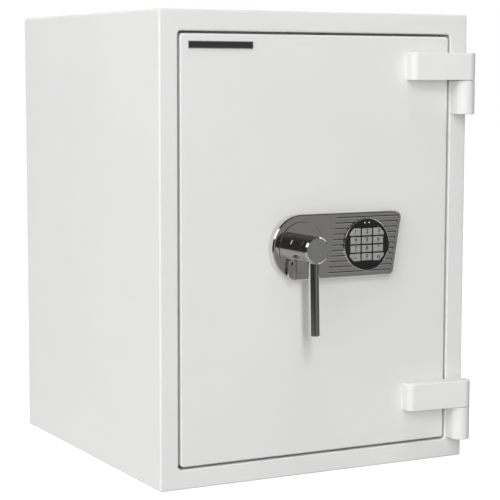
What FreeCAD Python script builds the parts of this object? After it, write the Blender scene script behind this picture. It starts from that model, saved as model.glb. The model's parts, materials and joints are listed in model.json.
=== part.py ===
import FreeCAD, Part
import math
import os

import Sketcher

# Fire-resistant safe with outside hinges, an electronic keypad and a boltwork lever.
# X runs to the right, the front faces -Y and Z is up. The origin is the middle of the base.
# Places in depth are given as distances behind the plane of the front face.

DOC = FreeCAD.newDocument("Safe")
SHEET = DOC.addObject("Spreadsheet::Sheet", "Sizes")
PARTS = {}

DRIVING = [
    # body
    ("body_width", 500, "overall width of the body"),
    ("body_depth", 510, "overall depth of the body, hinges and handle left out"),
    ("body_height", 660, "overall height"),
    ("body_round", 3, "radius along the outer edges"),
    ("casing_sheet", 2, "outer sheet"),
    ("front_sheet", 4, "front border plate"),
    ("border_side", 28, "front border on the lock side"),
    ("border_hinge", 29.5, "front border on the hinge side"),
    ("border_base", 28, "front border below the door"),
    ("border_top", 29, "front border above the door"),
    ("frame_sheet", 3, "sheet of the stepped door frame"),
    ("step_depth", 32, "from the front to the step that carries the seal"),
    ("step_width", 22, "width of the step"),
    ("lip_depth", 48, "from the front to the back of the lip"),
    ("channel_depth", 77, "from the front to the end of the bolt channel"),
    ("liner_front", 80, "from the front to the liner's mouth"),
    ("liner_wall", 1.5, "sheet of the liner"),
    ("liner_half", 195, "half the clear width of the compartment"),
    ("liner_floor", 55, "height of the compartment floor"),
    ("liner_back", 455, "from the front to the compartment's rear wall"),
    ("seal_height", 3, "thickness of the seal strip"),
    # door
    ("door_gap", 3.5, "gap all round the door"),
    ("door_round", 5, "corner radius of the door"),
    ("edge_round", 2.5, "radius of the door's front edge and of the opening's edge"),
    ("skin_sheet", 3, "sheet of the door tray"),
    ("tray_depth", 26, "depth of the door tray"),
    ("back_plate", 2, "plate that closes the tray"),
    ("case_left", -192, "lock side of the boltwork case"),
    ("case_right", 194, "hinge side of the boltwork case"),
    ("case_low", 54, "bottom of the boltwork case"),
    ("case_depth", 74, "from the front to the back of the boltwork case"),
    ("case_wall", 1.5, "sheet of the boltwork case"),
    ("cover_sheet", 2, "inner cover of the door"),
    # hinges
    ("hinge_x", 236.7, "hinge axis"),
    ("hinge_stand", 15, "how far the hinge axis stands in front of the front"),
    ("barrel_radius", 14.5, "hinge barrel"),
    ("pin_radius", 6, "hinge pin"),
    ("arm_height", 40, "height of a door arm"),
    ("arm_tip_x", 143.8, "free end of a door arm"),
    ("arm_tip_thick", 19.5, "thickness of an arm at its free end"),
    ("knuckle_height", 49.5, "height of a frame knuckle"),
    ("upper_joint", 564.5, "plane where the upper arm sits on its knuckle"),
    ("lower_joint", 80, "plane where the lower arm sits on its knuckle"),
    # handle and escutcheon
    ("handle_x", -36, "handle axis"),
    ("handle_z", 330, "handle axis"),
    ("plate_thick", 13, "thickness of the escutcheon"),
    ("plate_round", 46.5, "radius of its round end"),
    ("plate_right", 124.4, "its right edge at the height of the handle"),
    ("plate_slant", 0.163, "slope of its right edge"),
    ("disc_radius", 36.5, "raised disc round the handle, and face of the keypad"),
    ("hub_radius", 19.3, "handle hub"),
    ("hub_front", 58, "how far the hub stands out"),
    ("lever_radius", 7.8, "lever"),
    ("lever_stand", 45.5, "how far the lever's axis stands out"),
    ("lever_end", 208.5, "height of the lever's free end"),
    ("spindle_radius", 5, "handle spindle"),
    # keypad
    ("keypad_x", 71, "centre of the keypad"),
    ("key_pitch_x", 19, "spacing of the keys"),
    ("key_pitch_z", 12, "spacing of the keys"),
    ("key_wide", 16.6, "width of a key"),
    ("key_high", 10, "height of a key"),
    ("key_corner", 6.8, "cut at the outer corner of a corner key"),
    ("key_clear", 0.3, "clearance round a key"),
    # boltwork
    ("gear_module", 2, "module of the pinion and the racks"),
    ("gear_teeth", 15, "teeth of the pinion"),
    ("backlash", 0.5, "play between the pinion and a rack"),
    ("bolt_radius", 10, "side bolts"),
    ("rod_bolt_radius", 8, "top and bottom bolts"),
    ("bolt_depth", 59.5, "from the front to the bolts' axes"),
    ("running", 0.05, "radial clearance of sliding and turning fits"),
    ("cam_radius", 27, "blocking cam"),
]


class Size:
    """A length that carries both its value and the sheet expression that gives it."""

    def __init__(self, text, value):
        self.text = text
        self.value = value

    def join(self, sign, other, value, swapped=False):
        first, second = (text_of(other), self.text) if swapped else (self.text, text_of(other))
        return Size(f"({first} {sign} {second})", value)

    def __add__(self, other):
        return self.join("+", other, self.value + value_of(other))

    def __radd__(self, other):
        return self.join("+", other, self.value + value_of(other), swapped=True)

    def __sub__(self, other):
        return self.join("-", other, self.value - value_of(other))

    def __rsub__(self, other):
        return self.join("-", other, value_of(other) - self.value, swapped=True)

    def __mul__(self, other):
        return self.join("*", other, self.value * value_of(other))

    def __rmul__(self, other):
        return self.join("*", other, self.value * value_of(other), swapped=True)

    def __truediv__(self, other):
        return self.join("/", other, self.value / value_of(other))

    def __neg__(self):
        return Size(f"(0 - {self.text})", -self.value)


def text_of(size):
    return size.text if isinstance(size, Size) else f"({float(size):g})"


def value_of(size):
    return size.value if isinstance(size, Size) else float(size)


class Sizes:
    """The driving dimensions, each a cell of the sheet with its own alias."""

    def __init__(self, rows):
        for number, (alias, value, note) in enumerate(rows, start=1):
            SHEET.set(f"A{number}", alias)
            SHEET.set(f"B{number}", f"{value}")
            SHEET.set(f"C{number}", note)
            SHEET.setAlias(f"B{number}", alias)
            setattr(self, alias, Size(f"Sizes.{alias}", float(value)))


S = Sizes(DRIVING)
DOC.recompute()

FRONT = -S.body_depth / 2
BACK = S.body_depth / 2
HALF = S.body_width / 2
TOP = S.body_height
MIDDLE = S.body_height / 2

OPEN_X = (S.border_side - HALF, HALF - S.border_hinge)
OPEN_Z = (0 + S.border_base, TOP - S.border_top)
LIP_X = (OPEN_X[0] + S.step_width, OPEN_X[1] - S.step_width)
LIP_Z = (OPEN_Z[0] + S.step_width, OPEN_Z[1] - S.step_width)
DOOR_X = (OPEN_X[0] + S.door_gap, OPEN_X[1] - S.door_gap)
DOOR_Z = (OPEN_Z[0] + S.door_gap, OPEN_Z[1] - S.door_gap)
LINER_X = (-S.liner_half, 0 + S.liner_half)
LINER_Z = (0 + S.liner_floor, TOP - S.liner_floor)
CASE_X = (0 + S.case_left, 0 + S.case_right)
CASE_Z = (0 + S.case_low, TOP - S.case_low)
PITCH_RADIUS = S.gear_module * S.gear_teeth / 2
HINGE_Y = FRONT - S.hinge_stand


def behind(depth):
    """The Y of a plane that far behind the front face."""
    return FRONT + depth


def proud(stand):
    """The Y of a plane that far in front of the front face."""
    return FRONT - stand


def grown(span, amount):
    """A pair of limits moved apart by an amount on each side."""
    return span[0] - amount, span[1] + amount


def bind(thing, path, size):
    thing.setExpression(path, text_of(size))


# Part primitives ---------------------------------------------------------------------------

TURNED = {
    "x": FreeCAD.Rotation(FreeCAD.Vector(0, 1, 0), 90),
    "y": FreeCAD.Rotation(FreeCAD.Vector(1, 0, 0), -90),
    "z": FreeCAD.Rotation(),
}


def place(thing, x, y, z):
    for axis, size in zip("xyz", (x, y, z)):
        bind(thing, f"Placement.Base.{axis}", size)
    return thing


def block(name, xs, ys, zs):
    """A box between pairs of X, Y and Z values."""
    solid = DOC.addObject("Part::Box", name)
    for path, span in zip(("Length", "Width", "Height"), (xs, ys, zs)):
        bind(solid, path, span[1] - span[0])
    return place(solid, xs[0], ys[0], zs[0])


def rod(name, along, middle, span, radius):
    """A cylinder along one axis; middle gives its place on the other two, in XYZ order."""
    solid = DOC.addObject("Part::Cylinder", name)
    bind(solid, "Radius", radius)
    bind(solid, "Height", span[1] - span[0])
    solid.Placement = FreeCAD.Placement(FreeCAD.Vector(), TURNED[along])
    where = list(middle)
    where.insert("xyz".index(along), span[0])
    return place(solid, *where)


def ball(name, x, y, z, radius):
    solid = DOC.addObject("Part::Sphere", name)
    bind(solid, "Radius", radius)
    return place(solid, x, y, z)


def minus(name, base, *tools):
    """The base with every tool taken away."""
    result = DOC.addObject("Part::Cut", name)
    result.Base = base
    result.Tool = tools[0] if len(tools) == 1 else union(f"{name}_tools", *tools)
    return result


def union(name, *solids):
    result = DOC.addObject("Part::MultiFuse", name)
    result.Shapes = list(solids)
    return result


def group(name, *solids):
    """Separate solids that are handled as one sub-part, such as a set of screws."""
    result = DOC.addObject("Part::Compound", name)
    result.Links = list(solids)
    return result


def ring(name, outer_xz, inner_xz, ys):
    """A rectangular frame: an outer block with an inner block taken through it."""
    outer = block(f"{name}_outer", outer_xz[0], ys, outer_xz[1])
    inner = block(f"{name}_inner", inner_xz[0], ys, inner_xz[1])
    return minus(name, outer, inner)


def keep(label, thing):
    """Register a finished sub-part under the label that also names its file."""
    thing.Label = label
    PARTS[label] = thing
    return thing


# Sketches and PartDesign features --------------------------------------------------------


def circle(middle, radius):
    """Draws a circle whose centre and radius follow the sheet."""

    def draw(sketch):
        centre = FreeCAD.Vector(value_of(middle[0]), value_of(middle[1]), 0)
        curve = sketch.addGeometry(Part.Circle(centre, FreeCAD.Vector(0, 0, 1), value_of(radius)))
        fix_point(sketch, curve, 3, middle)
        row = sketch.addConstraint(Sketcher.Constraint("Radius", curve, value_of(radius)))
        bind(sketch, f"Constraints[{row}]", radius)

    return draw


def polygon(*points):
    """Draws a closed polygon whose corners follow the sheet."""

    def draw(sketch):
        places = [FreeCAD.Vector(value_of(a), value_of(b), 0) for a, b in points]
        ends = places[1:] + places[:1]
        lines = [sketch.addGeometry(Part.LineSegment(*pair)) for pair in zip(places, ends)]
        for line, after in zip(lines, lines[1:] + lines[:1]):
            sketch.addConstraint(Sketcher.Constraint("Coincident", line, 2, after, 1))
        for line, point in zip(lines, points):
            fix_point(sketch, line, 1, point)

    return draw


def rectangle(across, up):
    return polygon((across[0], up[0]), (across[1], up[0]), (across[1], up[1]), (across[0], up[1]))


def fix_point(sketch, curve, end, point):
    """Holds one point of a curve at its two distances from the sketch's origin."""
    for kind, size in zip(("DistanceX", "DistanceY"), point):
        constraint = Sketcher.Constraint(kind, -1, 1, curve, end, value_of(size))
        bind(sketch, f"Constraints[{sketch.addConstraint(constraint)}]", size)


class Piece:
    """A PartDesign body, with short calls for the features that make it."""

    PLANES = {"x": "YZ_Plane", "y": "XZ_Plane", "z": "XY_Plane"}

    def __init__(self, label):
        self.label = label
        self.body = DOC.addObject("PartDesign::Body", label)
        self.body.Label = label
        PARTS[label] = self.body

    def feature(self, kind):
        return self.body.newObject(kind, f"{self.label}_{kind.split('::')[1]}")

    def sketch(self, along, offset, curves):
        """A sketch square to one axis; the XZ plane's own normal points to -Y."""
        sketch = self.feature("Sketcher::SketchObject")
        plane = [p for p in self.body.Origin.OriginFeatures if p.Role == self.PLANES[along]][0]
        sketch.AttachmentSupport = (plane, [""])
        sketch.MapMode = "FlatFace"
        bind(sketch, "AttachmentOffset.Base.z", -offset if along == "y" else offset)
        for draw in curves:
            draw(sketch)
        return sketch

    def solid(self, along, span, *curves):
        """A pad of the curves between two places along an axis."""
        pad = self.feature("PartDesign::Pad")
        pad.Profile = self.sketch(along, span[1] if along == "y" else span[0], curves)
        bind(pad, "Length", span[1] - span[0])
        return pad

    def hollow(self, along, span, *curves):
        """A pocket of the curves between two places along an axis, which must remove material."""
        DOC.recompute()
        before = self.body.Shape.Volume
        pocket = self.feature("PartDesign::Pocket")
        pocket.Profile = self.sketch(along, span[0] if along == "y" else span[1], curves)
        bind(pocket, "Length", span[1] - span[0])
        DOC.recompute()
        if self.body.Shape.Volume > before - 1e-3:
            raise ValueError(f"a pocket of {self.label} removes nothing")
        return pocket

    def turned(self, *curves):
        """A revolution about the body's own Y axis of a profile drawn in its XY plane."""
        spun = self.feature("PartDesign::Revolution")
        sketch = self.sketch("z", 0, curves)
        spun.Profile = sketch
        spun.ReferenceAxis = (sketch, ["V_Axis"])
        spun.Angle = 360
        return spun

    def turned_groove(self, *curves):
        """A groove about the body's own Y axis."""
        spun = self.feature("PartDesign::Groove")
        sketch = self.sketch("z", 0, curves)
        spun.Profile = sketch
        spun.ReferenceAxis = (sketch, ["V_Axis"])
        spun.Angle = 360
        return spun

    def repeat(self, feature, sketch_axis, length, count):
        """A linear pattern of a feature along one of its sketch's axes."""
        pattern = self.feature("PartDesign::LinearPattern")
        pattern.Originals = [feature]
        pattern.Direction = (feature.Profile[0], [sketch_axis])
        bind(pattern, "Length", length)
        pattern.Occurrences = count
        self.body.Tip = pattern
        return pattern

    def blend(self, kind, size, chosen):
        """A fillet or chamfer of the edges whose middle point passes the test."""
        DOC.recompute()
        base = self.body.Tip
        names = [f"Edge{n}" for n, edge in enumerate(base.Shape.Edges, start=1) if chosen(edge)]
        if not names:
            raise ValueError(f"no edge of {self.label} passes the test")
        dressed = self.feature(f"PartDesign::{kind}")
        dressed.Base = (base, names)
        bind(dressed, "Radius" if kind == "Fillet" else "Size", size)
        return dressed


def middle_of(edge):
    return edge.valueAt((edge.FirstParameter + edge.LastParameter) / 2)


def near(value, target):
    return abs(value - value_of(target)) < 1e-3


def runs_along(edge, axis):
    """True for a straight edge parallel to an axis."""
    if len(edge.Vertexes) < 2:
        return False
    span = edge.Vertexes[1].Point - edge.Vertexes[0].Point
    return abs(edge.Length - abs(span.dot(axis))) < 1e-6


Y_AXIS = FreeCAD.Vector(0, 1, 0)
Z_AXIS = FreeCAD.Vector(0, 0, 1)


# Body of the safe ------------------------------------------------------------------------

ANCHOR_SPACING = 240
ANCHOR_RADIUS = 7
ANCHOR_WALL = 2
REAR_ANCHOR_Z = 420
PLUG_HEAD_THICK = 1.5
PLUG_HEAD_RADIUS = 10


def make_outer_casing():
    """Wrapped sheet with the front border in one piece, open at the back and underneath."""
    casing = Piece("outer_casing")
    casing.solid("y", (FRONT, BACK), rectangle((-HALF, 0 + HALF), (0, TOP)))
    casing.blend("Fillet", S.body_round, lambda e: runs_along(e, Y_AXIS))
    casing.blend("Fillet", S.body_round, lambda e: near(middle_of(e).y, FRONT))
    inside_x = grown((-HALF, HALF), -S.casing_sheet)
    casing.hollow("y", (behind(S.front_sheet), BACK), rectangle(inside_x, (0, TOP - S.casing_sheet)))
    casing.hollow("y", (FRONT, behind(S.front_sheet)), rectangle(OPEN_X, OPEN_Z))
    casing.blend("Fillet", S.door_round + 1, lambda e: runs_along(e, Y_AXIS) and in_opening(e))
    casing.blend("Fillet", S.edge_round, lambda e: near(middle_of(e).y, FRONT) and in_opening(e))


def in_opening(edge):
    """True for an edge that lies further in from the outline than half of the front border."""
    point = middle_of(edge)
    margin = value_of(S.border_side) / 2
    inside_z = margin < point.z < value_of(TOP) - margin
    return inside_z and abs(point.x) < value_of(HALF) - margin


def make_base_plate():
    """Bottom sheet, with the holes that the anchor sleeves fill."""
    inside_x = grown((-HALF, HALF), -S.casing_sheet)
    sheet = block("base_sheet", inside_x, (behind(S.front_sheet), BACK), (0, 0 + S.casing_sheet))
    holes = [
        rod(f"base_hole_{n}", "z", (x, 0), (-1, S.casing_sheet + 1), ANCHOR_RADIUS + ANCHOR_WALL)
        for n, x in enumerate(anchor_places())
    ]
    keep("base_plate", minus("base_plate", sheet, *holes))


def anchor_places():
    return -ANCHOR_SPACING / 2, ANCHOR_SPACING / 2


def make_rear_panel():
    """Back sheet with its two wall-anchor holes, and the plugs that close them."""
    inside_x = grown((-HALF, HALF), -S.casing_sheet)
    span = (BACK - S.casing_sheet, BACK)
    panel = Piece("rear_panel")
    panel.solid("y", span, rectangle(inside_x, (0 + S.casing_sheet, TOP - S.casing_sheet)))
    panel.hollow("y", span, *[circle((x, REAR_ANCHOR_Z), ANCHOR_RADIUS) for x in anchor_places()])
    plugs = []
    for n, x in enumerate(anchor_places()):
        centre = (x, REAR_ANCHOR_Z)
        stem = rod(f"plug_stem_{n}", "y", centre, (BACK - S.casing_sheet, BACK), ANCHOR_RADIUS)
        head = rod(f"plug_head_{n}", "y", centre, (BACK, BACK + PLUG_HEAD_THICK), PLUG_HEAD_RADIUS)
        plugs.append(union(f"plug_{n}", stem, head))
    keep("rear_anchor_plugs", group("rear_anchor_plugs", *plugs))


def make_anchor_sleeves():
    """Tubes that line the floor-anchor holes from the base to the compartment floor."""
    sleeves = []
    for n, x in enumerate(anchor_places()):
        span = (0, 0 + S.liner_floor)
        tube = rod(f"sleeve_tube_{n}", "z", (x, 0), span, ANCHOR_RADIUS + ANCHOR_WALL)
        bore = rod(f"sleeve_bore_{n}", "z", (x, 0), span, ANCHOR_RADIUS)
        sleeves.append(minus(f"sleeve_{n}", tube, bore))
    keep("anchor_sleeves", group("anchor_sleeves", *sleeves))


def make_door_frame():
    """Stepped rebate: outer wall, solid lip that the bolts catch behind, and a rear flange."""
    ys = (behind(S.front_sheet), behind(S.liner_front))
    outer = (grown(OPEN_X, S.frame_sheet), grown(OPEN_Z, S.frame_sheet))
    wall = ring("frame_wall", outer, (OPEN_X, OPEN_Z), ys)
    lip = ring("frame_lip", (OPEN_X, OPEN_Z), (LIP_X, LIP_Z), (behind(S.step_depth), behind(S.lip_depth)))
    flange_ys = (behind(S.channel_depth), behind(S.liner_front))
    flange = ring("frame_flange", (OPEN_X, OPEN_Z), (LINER_X, LINER_Z), flange_ys)
    keep("door_frame", union("door_frame", wall, lip, flange))


SEAL_MARGIN = 5


def make_door_seal():
    """Strip along the middle of the step, a little clear of the door."""
    reach = S.step_width - SEAL_MARGIN
    outer = (grown(LIP_X, reach), grown(LIP_Z, reach))
    inner = (grown(LIP_X, SEAL_MARGIN), grown(LIP_Z, SEAL_MARGIN))
    ys = (behind(S.step_depth - S.seal_height), behind(S.step_depth))
    keep("door_seal", ring("door_seal", outer, inner, ys))


def make_inner_liner():
    """Sheet box that lines the compartment, open to the front."""
    liner = Piece("inner_liner")
    mouth = behind(S.liner_front)
    rear = behind(S.liner_back)
    outer_x = grown(LINER_X, S.liner_wall)
    outer_z = grown(LINER_Z, S.liner_wall)
    liner.solid("y", (mouth, rear + S.liner_wall), rectangle(outer_x, outer_z))
    liner.hollow("y", (mouth, rear), rectangle(LINER_X, LINER_Z))
    sleeve_radius = ANCHOR_RADIUS + ANCHOR_WALL
    holes = [circle((x, 0), sleeve_radius) for x in anchor_places()]
    liner.hollow("z", (outer_z[0], LINER_Z[0]), *holes)


def make_body_infill():
    """Insulation that fills the space between the casing, the frame and the liner."""
    inside_x = grown((-HALF, HALF), -S.casing_sheet)
    infill = Piece("body_infill")
    ys = (behind(S.front_sheet), BACK - S.casing_sheet)
    infill.solid("y", ys, rectangle(inside_x, (0 + S.casing_sheet, TOP - S.casing_sheet)))
    frame_x = grown(OPEN_X, S.frame_sheet)
    frame_z = grown(OPEN_Z, S.frame_sheet)
    infill.hollow("y", (ys[0], behind(S.liner_front)), rectangle(frame_x, frame_z))
    liner_ys = (behind(S.liner_front), behind(S.liner_back) + S.liner_wall)
    infill.hollow("y", liner_ys, rectangle(grown(LINER_X, S.liner_wall), grown(LINER_Z, S.liner_wall)))
    holes = [circle((x, 0), ANCHOR_RADIUS + ANCHOR_WALL) for x in anchor_places()]
    infill.hollow("z", (0 + S.casing_sheet, LINER_Z[0] - S.liner_wall), *holes)


SHELF_SHEET = 1.5
SHELF_LIP = 18
SHELF_SIDE_GAP = 2
SHELF_FRONT_GAP = 40
SHELF_BACK_GAP = 10
CLIP_INSET = 45
CLIP_REACH = 12
CLIP_HALF = 7
CLIP_HIGH = 6


def make_shelf():
    """Folded shelf with a front and a back lip, on four clips in the liner's sides."""
    half = S.liner_half - SHELF_SIDE_GAP
    front = behind(S.liner_front + SHELF_FRONT_GAP)
    rear = behind(S.liner_back - SHELF_BACK_GAP)
    top = MIDDLE
    shelf = Piece("shelf")
    shelf.solid(
        "x",
        (-half, half),
        polygon(
            (front, top - SHELF_LIP),
            (front + SHELF_SHEET, top - SHELF_LIP),
            (front + SHELF_SHEET, top - SHELF_SHEET),
            (rear - SHELF_SHEET, top - SHELF_SHEET),
            (rear - SHELF_SHEET, top - SHELF_LIP),
            (rear, top - SHELF_LIP),
            (rear, top),
            (front, top),
        ),
    )
    clips = []
    seat = top - SHELF_SHEET
    sides = (
        ("left", (-S.liner_half, CLIP_REACH - S.liner_half)),
        ("right", (S.liner_half - CLIP_REACH, 0 + S.liner_half)),
    )
    for side, xs in sides:
        for n, y in enumerate((front + CLIP_INSET, rear - CLIP_INSET)):
            ys = (y - CLIP_HALF, y + CLIP_HALF)
            clips.append(block(f"clip_{side}_{n}", xs, ys, (seat - CLIP_HIGH, seat)))
    keep("shelf_clips", group("shelf_clips", *clips))


# Hinges ------------------------------------------------------------------------------------

HALF_COLLAR = 0.5
FOOT_ROUND = 1.2
ARM_TIP_ROUND = 9
ARM_TOP_ROUND = 2.5
ARM_CAP = 6
ARM_NECK = 5
PIN_END_GAP = 2


def make_frame_hinge(label, joint):
    """Fixed knuckle: a barrel on a block that is welded to the front border."""
    span = (joint - S.knuckle_height, joint - HALF_COLLAR)
    left = S.hinge_x - S.barrel_radius
    knuckle = Piece(label)
    knuckle.solid("z", span, circle((S.hinge_x, HINGE_Y), S.barrel_radius))
    knuckle.solid("z", span, rectangle((left, 0 + HALF), (HINGE_Y, FRONT)))
    knuckle.hollow("z", span, circle((S.hinge_x, HINGE_Y), S.pin_radius))

    def outside_foot(edge):
        point = middle_of(edge)
        centre = FreeCAD.Vector(value_of(S.hinge_x), value_of(HINGE_Y), point.z)
        outside = (point - centre).Length > value_of(S.pin_radius) + 1
        return outside and near(point.z, span[0]) and in_front(point)

    knuckle.blend("Fillet", FOOT_ROUND, outside_foot)


def in_front(point):
    """True for a point clear of the front face."""
    return point.y < value_of(FRONT) - 1


def make_hinge_arm(label, joint):
    """Arm on the door's face, thicker towards its barrel, which turns on the pin."""
    span = (joint + HALF_COLLAR, joint + S.arm_height)
    front = HINGE_Y - S.barrel_radius
    rear = HINGE_Y + S.barrel_radius
    arm = Piece(label)
    arm.solid("z", span, circle((S.hinge_x, HINGE_Y), S.barrel_radius))
    arm.solid(
        "z",
        span,
        polygon(
            (S.arm_tip_x, FRONT),
            (DOOR_X[1], FRONT),
            (DOOR_X[1] + ARM_NECK, rear),
            (S.hinge_x, rear),
            (S.hinge_x, front),
            (S.arm_tip_x, proud(S.arm_tip_thick)),
        ),
    )

    def tip_edge(edge):
        point = middle_of(edge)
        at_tip = near(point.x, S.arm_tip_x) and near(point.y, proud(S.arm_tip_thick))
        return at_tip and runs_along(edge, Z_AXIS)

    arm.blend("Fillet", ARM_TIP_ROUND, tip_edge)
    arm.blend("Fillet", ARM_TOP_ROUND, lambda e: near(middle_of(e).z, span[1]) and in_front(middle_of(e)))
    bore = circle((S.hinge_x, HINGE_Y), S.pin_radius + S.running)
    arm.hollow("z", (span[0], span[1] - ARM_CAP), bore)


def make_hinge_pins():
    """Two pins with a collar between knuckle and arm, each fixed in its knuckle."""
    pins = []
    middle = (S.hinge_x, HINGE_Y)
    for n, joint in enumerate((S.upper_joint, S.lower_joint)):
        low = joint - S.knuckle_height + PIN_END_GAP
        high = joint + S.arm_height - ARM_CAP - PIN_END_GAP
        stem = rod(f"pin_stem_{n}", "z", middle, (low, high), S.pin_radius)
        collar_span = (joint - HALF_COLLAR, joint + HALF_COLLAR - S.running)
        collar = rod(f"pin_collar_{n}", "z", middle, collar_span, S.pin_radius * 2)
        pins.append(union(f"pin_{n}", stem, collar))
    keep("hinge_pins", group("hinge_pins", *pins))


# Door --------------------------------------------------------------------------------------

BUSH_RADIUS = 9
CABLE_HOLE = 5
PLATE_INSET = 1
KEY_X = -54.5
KEY_HOLE_Z = 298
KEY_TUBE_RADIUS = 4.5
KEY_PIVOT_Z = 309
LOCK_X = (-84, -24)


def door_holes():
    """The holes through the door: handle bush, keypad cable and emergency key."""
    return (
        circle((S.handle_x, S.handle_z), BUSH_RADIUS),
        circle((S.keypad_x, S.handle_z), CABLE_HOLE),
        circle((KEY_X, KEY_HOLE_Z), KEY_TUBE_RADIUS),
    )


def make_door_panel():
    """Tray, filling and closing plate, which all have the same three holes."""
    skin = Piece("door_skin")
    skin.solid("y", (FRONT, behind(S.tray_depth)), rectangle(DOOR_X, DOOR_Z))
    skin.blend("Fillet", S.door_round, lambda e: runs_along(e, Y_AXIS))
    skin.blend("Fillet", S.edge_round, lambda e: near(middle_of(e).y, FRONT))
    inside = (grown(DOOR_X, -S.skin_sheet), grown(DOOR_Z, -S.skin_sheet))
    fill_ys = (behind(S.skin_sheet), behind(S.tray_depth))
    skin.hollow("y", fill_ys, rectangle(*inside))
    skin.hollow("y", (FRONT, behind(S.skin_sheet)), *door_holes())
    infill = Piece("door_infill")
    infill.solid("y", fill_ys, rectangle(*inside))
    infill.hollow("y", fill_ys, *door_holes())
    plate_ys = (behind(S.tray_depth), behind(S.tray_depth + S.back_plate))
    plate = Piece("door_back_plate")
    plate.solid("y", plate_ys, rectangle(grown(DOOR_X, -PLATE_INSET), grown(DOOR_Z, -PLATE_INSET)))
    plate.hollow("y", plate_ys, *door_holes())


CASE_FLANGE = 14
SCREW_RADIUS = 2
SCREW_HEAD = 4
SCREW_HEAD_HIGH = 1.8
SCREW_REACH = 6
SLOT_HALF = 0.5
SLOT_DEEP = 0.9
COVER_ROUND = 3
SIDE_BOLT_Z = (130, 330, 530)
MID_SCREWS = 90


def make_boltwork_case():
    """Rear box of the door with guide holes for the bolts and a flange for its cover."""
    front = behind(S.tray_depth + S.back_plate)
    rear = behind(S.case_depth)
    case = Piece("boltwork_case")
    case.solid("y", (front, rear), rectangle(CASE_X, CASE_Z))
    walls = (grown(CASE_X, -S.case_wall), grown(CASE_Z, -S.case_wall))
    case.hollow("y", (front, rear - S.case_wall), rectangle(*walls))
    mouth = (grown(CASE_X, -CASE_FLANGE), grown(CASE_Z, -CASE_FLANGE))
    case.hollow("y", (rear - S.case_wall, rear), rectangle(*mouth))
    case.hollow("y", (rear - S.case_wall, rear), *[circle(p, SCREW_RADIUS) for p in screw_places()])
    side_holes = [circle((behind(S.bolt_depth), z), S.bolt_radius + S.running) for z in SIDE_BOLT_Z]
    case.hollow("x", (CASE_X[0], CASE_X[0] + S.case_wall), *side_holes)
    for x, span in (
        (top_rod_x(), (CASE_Z[1] - S.case_wall, CASE_Z[1])),
        (bottom_rod_x(), (CASE_Z[0], CASE_Z[0] + S.case_wall)),
    ):
        hole = circle((x, behind(S.bolt_depth)), S.rod_bolt_radius + S.running)
        case.hollow("z", span, hole)


def screw_places():
    """Centres of the eight cover screws, in the flange."""
    inset = CASE_FLANGE / 2 + 1
    xs = grown(CASE_X, -inset)
    zs = grown(CASE_Z, -inset)
    rows = (zs[0], MIDDLE - MID_SCREWS, MIDDLE + MID_SCREWS, zs[1])
    return [(x, z) for x in xs for z in rows]


def make_inner_cover():
    """Cover of the boltwork with its eight screws."""
    rear = behind(S.case_depth)
    ys = (rear, rear + S.cover_sheet)
    cover = Piece("door_inner_cover")
    cover.solid("y", ys, rectangle(CASE_X, CASE_Z))
    cover.blend("Fillet", COVER_ROUND, lambda e: runs_along(e, Y_AXIS))
    cover.hollow("y", ys, *[circle(p, SCREW_RADIUS) for p in screw_places()])
    screws = []
    head_top = ys[1] + SCREW_HEAD_HIGH
    for n, (x, z) in enumerate(screw_places()):
        shank = rod(f"screw_shank_{n}", "y", (x, z), (rear - SCREW_REACH, ys[1]), SCREW_RADIUS)
        head = rod(f"screw_head_{n}", "y", (x, z), (ys[1], head_top), SCREW_HEAD)
        slot_x = (x - SCREW_HEAD, x + SCREW_HEAD)
        slot_z = (z - SLOT_HALF, z + SLOT_HALF)
        slot = block(f"screw_slot_{n}", slot_x, (head_top - SLOT_DEEP, head_top + 1), slot_z)
        screws.append(minus(f"screw_{n}", union(f"screw_body_{n}", shank, head), slot))
    keep("cover_screws", group("cover_screws", *screws))


DOG_BAR_REACH = 10
DOG_BAR_DEPTH = (54, 70)
DOG_BAR_LOW = 100


def make_dog_bar():
    """Fixed bar on the hinge side, which stays behind the frame's lip when the door is shut."""
    xs = (CASE_X[1], CASE_X[1] + DOG_BAR_REACH)
    ys = (behind(DOG_BAR_DEPTH[0]), behind(DOG_BAR_DEPTH[1]))
    keep("dog_bar", block("dog_bar", xs, ys, (DOG_BAR_LOW, TOP - DOG_BAR_LOW)))


NAME_X = (-207, -108.1)
NAME_Z = (607.4, 617.4)
NAME_THICK = 1.5
NAME_BORDER = 0.9
NAME_SINK = 0.4
NAME_ROUND = 0.6


def make_name_plate():
    """Blank plate with a raised border."""
    plate = Piece("name_plate")
    plate.solid("y", (proud(NAME_THICK), FRONT), rectangle(NAME_X, NAME_Z))
    plate.blend("Fillet", NAME_ROUND, lambda e: runs_along(e, Y_AXIS))
    field = rectangle(grown(NAME_X, -NAME_BORDER), grown(NAME_Z, -NAME_BORDER))
    plate.hollow("y", (proud(NAME_THICK), proud(NAME_THICK - NAME_SINK)), field)


# Escutcheon and keypad --------------------------------------------------------------------

GROOVES = 11
GROOVE_PITCH = 7.8
GROOVE_WIDE = 3.6
GROOVE_DEEP = 1.3
GROOVE_RADIUS = (GROOVE_WIDE ** 2 / 4 + GROOVE_DEEP ** 2) / (2 * GROOVE_DEEP)
GROOVE_LEFT = 13.9
GROOVE_LEFT_SLANT = 0.165
GROOVE_MARGIN = 6
CORNER_ROUND = 9
RIM_BEVEL = 1.6
DISC_STEP = 1
DISC_ROUND = 0.5
RING_WIDE = 1.5


def right_edge(z, inset=0):
    """X of the escutcheon's slanted right edge at a height."""
    return S.plate_right - inset + S.plate_slant * (z - S.handle_z)


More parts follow.
